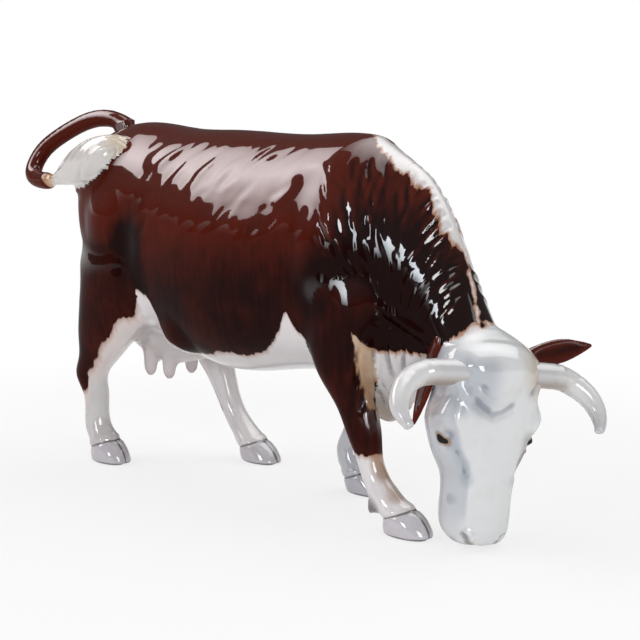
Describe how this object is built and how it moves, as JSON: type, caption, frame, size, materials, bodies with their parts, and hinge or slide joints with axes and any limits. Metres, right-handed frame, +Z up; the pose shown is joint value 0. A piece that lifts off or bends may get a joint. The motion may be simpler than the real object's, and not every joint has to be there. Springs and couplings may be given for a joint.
{
  "type": "cow figurine",
  "caption": "Glazed porcelain cow figurine, standing and grazing with its head lowered and turned, horns curled forward and tail looped onto the rump; a free-standing ornament.",
  "frame": {"origin": "centre of the bounding box's footprint, on the ground under the hooves", "axes": "+X from the rump towards the chest, +Y to the cow's left, +Z up"},
  "size_m": [0.3098, 0.1078, 0.1635],
  "materials": {
    "chestnut_glaze": "chestnut underglaze painting beneath a clear high-gloss glaze",
    "white_glaze": "white porcelain beneath a clear high-gloss glaze",
    "horn_glaze": "grey-white porcelain beneath a clear high-gloss glaze",
    "udder_glaze": "pink-tinted porcelain beneath a clear high-gloss glaze"
  },
  "bodies": {
    "root": {"trunk": "chestnut_glaze", "neck": "chestnut_glaze", "head": "white_glaze", "horn_right": "horn_glaze", "horn_left": "horn_glaze", "ear_right": "chestnut_glaze", "ear_left": "chestnut_glaze", "foreleg_right": "chestnut_glaze", "foreleg_left": "white_glaze", "hindleg_right": "chestnut_glaze", "hindleg_left": "white_glaze", "udder": "udder_glaze", "tail": "chestnut_glaze"}
  },
  "joints": []
}
